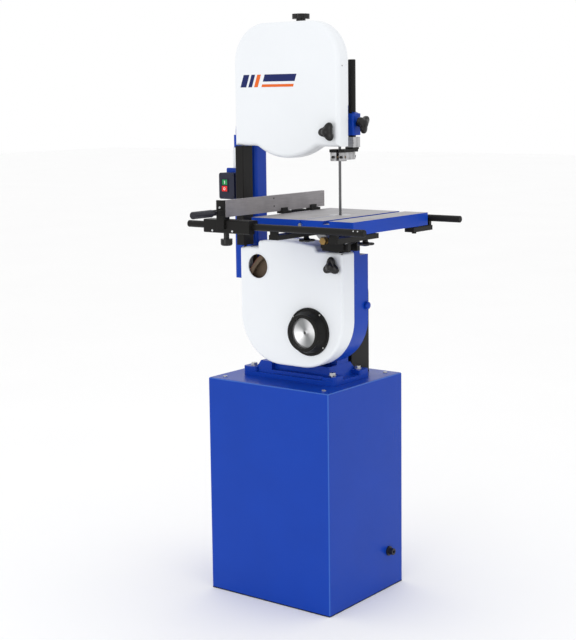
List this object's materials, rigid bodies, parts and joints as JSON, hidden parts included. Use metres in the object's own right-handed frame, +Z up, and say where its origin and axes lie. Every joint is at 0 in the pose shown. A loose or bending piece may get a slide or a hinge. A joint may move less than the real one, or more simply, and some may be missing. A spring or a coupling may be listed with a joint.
{
  "type": "vertical band saw",
  "caption": "Floor-standing woodcutting band saw: two-wheel blade loop in hinged housings on a cast frame, tilting table with fence, motor in a sheet-steel cabinet.",
  "frame": {"origin": "centre of the cabinet's base on the floor", "axes": "+X to the operator's right, +Y to the back, +Z up; the doors and the operator are on the -Y side"},
  "size_m": [0.738, 0.789, 1.788],
  "materials": {
    "blue_enamel": "smooth royal-blue enamel with a slight orange-peel texture",
    "white_enamel": "smooth white gloss enamel on pressed sheet",
    "black_enamel": "satin black enamel",
    "ground_iron": "ground and lightly oiled cast iron",
    "raw_casting": "dull cast wheel with faint machining marks",
    "bright_steel": "bright turned steel",
    "zinc_steel": "zinc plated fastener steel",
    "blade_steel": "thin polished spring steel",
    "machined_alloy": "machined aluminium with fine tool marks",
    "anodised_alloy": "extruded aluminium with fine lengthwise lines",
    "brass_turned": "turned brass",
    "bronze_fingers": "sintered bronze",
    "tyre_rubber": "smooth red-brown rubber tyre worn by the blade",
    "belt_rubber": "cloth-faced rubber belt",
    "black_plastic": "moulded black knob plastic, slightly satin",
    "switch_plastic": "fine-grained dark switch housing",
    "start_green": "smooth green button",
    "stop_red": "smooth red button",
    "gland_plastic": "moulded nylon"
  },
  "bodies": {
    "base": {"cabinet": "blue_enamel", "cable_gland": "gland_plastic", "frame_foot": "blue_enamel", "frame_fasteners": "zinc_steel", "lower_frame": "blue_enamel", "upper_frame": "blue_enamel", "shaft_bearings": "bright_steel", "motor": "black_enamel", "v_belt": "belt_rubber", "belt_guard": "black_enamel", "saw_blade": "blade_steel", "upper_rear_guard": "white_enamel", "return_channel": "black_enamel", "trunnion_cradle": "black_enamel", "lower_guides": "black_enamel", "switch_box": "switch_plastic", "tension_spring": "zinc_steel"},
    "access_door_set": {"access_door": "blue_enamel"},
    "access_latch": {"access_latch": "zinc_steel"},
    "lower_wheel_set": {"lower_wheel": "raw_casting", "lower_tyre": "tyre_rubber", "lower_shaft": "bright_steel", "driven_pulley": "machined_alloy"},
    "motor_rotor_set": {"motor_rotor": "bright_steel", "motor_pulley": "machined_alloy"},
    "tension_knob_set": {"tension_knob": "black_plastic"},
    "tension_slide_set": {"tension_slide": "raw_casting"},
    "tracking_knob_set": {"tracking_knob": "black_plastic"},
    "axle_bracket_set": {"axle_bracket": "raw_casting", "upper_axle": "bright_steel"},
    "upper_wheel_set": {"upper_wheel": "raw_casting", "upper_tyre": "tyre_rubber", "wheel_bearings": "bright_steel"},
    "upper_door_set": {"upper_door": "white_enamel"},
    "upper_door_knob": {"upper_door_knob": "black_plastic"},
    "lower_door_set": {"lower_door": "white_enamel", "port_collar": "black_enamel", "port_disc": "machined_alloy"},
    "lower_door_knob": {"lower_door_knob": "black_plastic"},
    "guide_post_set": {"guide_post": "black_enamel", "post_holder": "machined_alloy", "guide_bracket": "black_enamel", "guide_blocks": "machined_alloy", "guide_fingers": "bronze_fingers"},
    "clamp_knob": {"clamp_knob": "black_plastic"},
    "table_set": {"table": "ground_iron", "table_insert": "machined_alloy", "trunnions": "machined_alloy", "table_rails": "black_enamel", "rail_arms": "black_enamel"},
    "trunnion_lock": {"trunnion_lock": "brass_turned"},
    "star_knob_left": {"star_knob_left": "black_plastic"},
    "star_knob_right": {"star_knob_right": "black_plastic"},
    "fence_set": {"fence_bar": "anodised_alloy", "fence_plate": "black_enamel", "fence_carriage": "black_enamel"},
    "fence_lever": {"fence_lever": "black_plastic"},
    "fence_lock_knob": {"fence_lock_knob": "black_plastic"},
    "start_button": {"start_button": "start_green"},
    "stop_button": {"stop_button": "stop_red"}
  },
  "joints": [
    {"name": "access_door_swing", "type": "hinge", "parent": "base", "child": "access_door_set", "pos_m": [0.188, 0.205, 0.34], "axis": [0, 0, -1], "range_deg": [0, 110]},
    {"name": "access_latch_turn", "type": "hinge", "parent": "access_door_set", "child": "access_latch", "pos_m": [-0.148, 0.2, 0.34], "axis": [0, -1, 0], "range_deg": [0, 90]},
    {"name": "lower_wheel_spin", "type": "hinge", "parent": "base", "child": "lower_wheel_set", "pos_m": [0.055, -0.136, 0.92937], "axis": [0, 1, 0], "continuous": true},
    {"name": "motor_spin", "type": "hinge", "parent": "base", "child": "motor_rotor_set", "pos_m": [0.055, 0, 0.32], "axis": [0, 1, 0], "continuous": true},
    {"name": "tension_turn", "type": "hinge", "parent": "base", "child": "tension_knob_set", "pos_m": [0.055, -0.078, 1.7], "axis": [0, 0, 1], "range_deg": [0, 1441]},
    {"name": "tension_travel", "type": "slide", "parent": "base", "child": "tension_slide_set", "axis": [0, 0, 1], "range_m": [-0.012, 0], "deforming": ["tension_spring"]},
    {"name": "tracking_turn", "type": "hinge", "parent": "tension_slide_set", "child": "tracking_knob_set", "pos_m": [0.055, -0.03, 1.52425], "axis": [0, 1, 0], "range_deg": [0, 281]},
    {"name": "axle_tilt", "type": "hinge", "parent": "tension_slide_set", "child": "axle_bracket_set", "pos_m": [0.055, -0.084, 1.55825], "axis": [1, 0, 0], "range_deg": [0, 0.98]},
    {"name": "upper_wheel_spin", "type": "hinge", "parent": "axle_bracket_set", "child": "upper_wheel_set", "pos_m": [0.055, -0.136, 1.55825], "axis": [0, 1, 0], "continuous": true},
    {"name": "upper_door_swing", "type": "hinge", "parent": "base", "child": "upper_door_set", "pos_m": [-0.144, -0.124, 1.55], "axis": [0, 0, -1], "range_deg": [0, 100]},
    {"name": "upper_door_knob_turn", "type": "hinge", "parent": "upper_door_set", "child": "upper_door_knob", "pos_m": [0.217, -0.18, 1.443], "axis": [0, 1, 0], "range_deg": [0, 720]},
    {"name": "lower_door_swing", "type": "hinge", "parent": "base", "child": "lower_door_set", "pos_m": [-0.136, -0.103, 0.98], "axis": [0, 0, -1], "range_deg": [0, 88]},
    {"name": "lower_door_knob_turn", "type": "hinge", "parent": "lower_door_set", "child": "lower_door_knob", "pos_m": [0.222, -0.17, 1.052], "axis": [0, 1, 0], "range_deg": [0, 720]},
    {"name": "guide_post_travel", "type": "slide", "parent": "base", "child": "guide_post_set", "axis": [0, 0, 1], "range_m": [-0.12, 0.001]},
    {"name": "clamp_knob_turn", "type": "hinge", "parent": "base", "child": "clamp_knob", "pos_m": [0.27, -0.072, 1.465], "axis": [1, 0, 0], "range_deg": [0, 360]},
    {"name": "table_tilt", "type": "hinge", "parent": "base", "child": "table_set", "pos_m": [0.2334, -0.134, 1.202], "axis": [0, 1, 0], "range_deg": [0, 45]},
    {"name": "trunnion_lock_turn", "type": "hinge", "parent": "base", "child": "trunnion_lock", "pos_m": [0.205, -0.18, 1.128], "axis": [0, 1, 0], "range_deg": [0, 180]},
    {"name": "star_knob_left_turn", "type": "hinge", "parent": "table_set", "child": "star_knob_left", "pos_m": [0.189, -0.243, 1.14], "axis": [0, 0, 1], "range_deg": [0, 360]},
    {"name": "star_knob_right_turn", "type": "hinge", "parent": "table_set", "child": "star_knob_right", "pos_m": [0.393, -0.243, 1.14], "axis": [0, 0, 1], "range_deg": [0, 360]},
    {"name": "fence_travel", "type": "slide", "parent": "table_set", "child": "fence_set", "axis": [1, 0, 0], "range_m": [0, 0.085]},
    {"name": "fence_lever_lift", "type": "hinge", "parent": "fence_set", "child": "fence_lever", "pos_m": [0.037, -0.459, 1.223], "axis": [-1, 0, 0], "range_deg": [0, 60]},
    {"name": "fence_knob_turn", "type": "hinge", "parent": "fence_set", "child": "fence_lock_knob", "pos_m": [0.034, -0.415, 1.14], "axis": [0, 0, 1], "range_deg": [0, 360]},
    {"name": "start_push", "type": "slide", "parent": "base", "child": "start_button", "axis": [0, 1, 0], "range_m": [0, 0.003], "stiffness_N_per_m": 300},
    {"name": "stop_push", "type": "slide", "parent": "base", "child": "stop_button", "axis": [0, 1, 0], "range_m": [0, 0.003], "stiffness_N_per_m": 300}
  ],
  "couplings": [
    {"joint": "motor_spin", "follows": "lower_wheel_spin", "ratio": 2.0667},
    {"joint": "upper_wheel_spin", "follows": "lower_wheel_spin", "ratio": 1},
    {"joint": "tension_turn", "follows": "tension_travel", "rad_per_m": -2094.4},
    {"joint": "tracking_turn", "follows": "axle_tilt", "ratio": 285.71}
  ]
}
